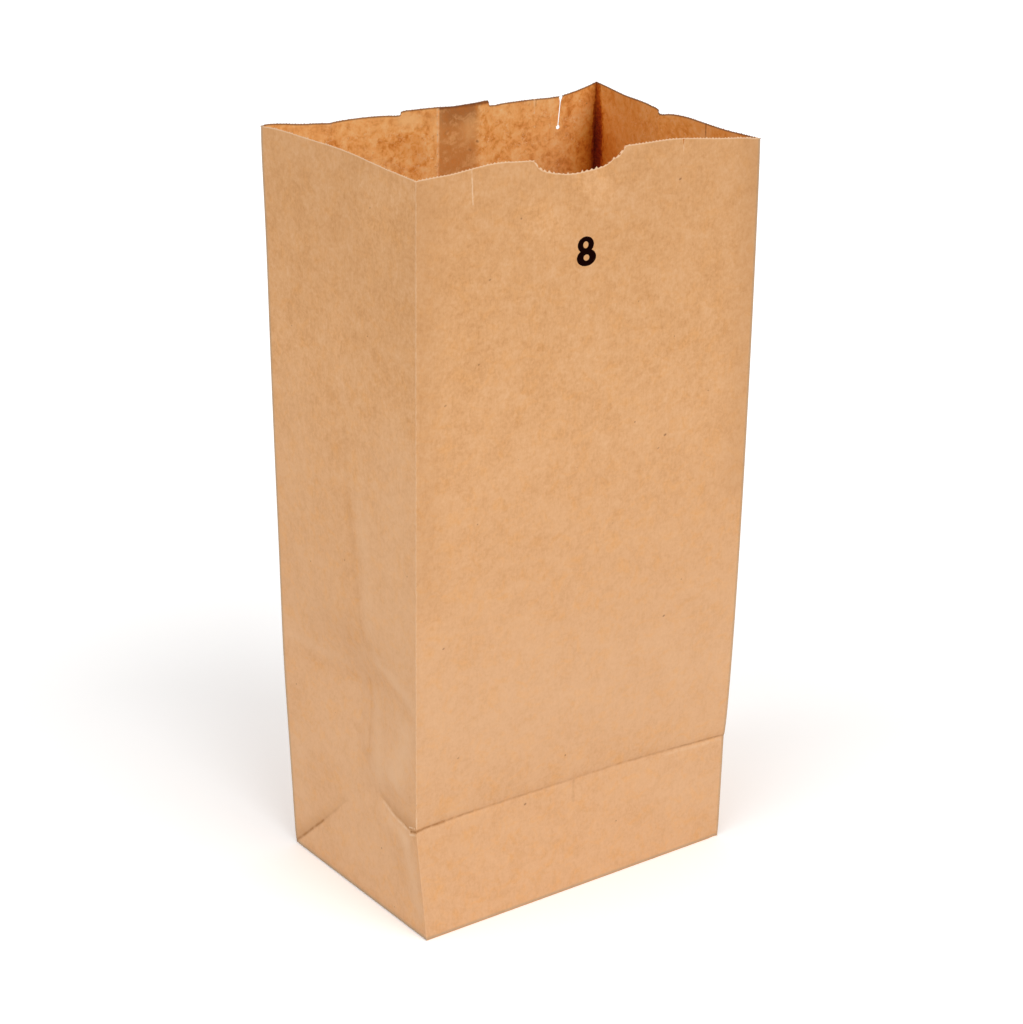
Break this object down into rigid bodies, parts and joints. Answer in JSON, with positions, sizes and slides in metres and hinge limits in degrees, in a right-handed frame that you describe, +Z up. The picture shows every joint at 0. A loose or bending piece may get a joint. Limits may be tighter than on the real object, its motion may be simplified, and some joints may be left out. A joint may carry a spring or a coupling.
{
  "type": "brown paper lunch bag",
  "caption": "Open square-bottomed sack of folded brown kraft paper, with gusseted sides, a saw-cut mouth and a thumb notch in the front.",
  "frame": {"origin": "middle of the base, between its four folded edges, on the ground", "axes": "+Z up out of the mouth, -Y out of the front panel that has the thumb notch, +X to the right of the front panel seen from outside"},
  "size_m": [0.1589, 0.1174, 0.3196],
  "materials": {
    "kraft_paper": "matte, unbleached, machine-glazed on the outside with a faint fibre"
  },
  "bodies": {
    "root": {"bag": "kraft_paper"}
  },
  "joints": []
}
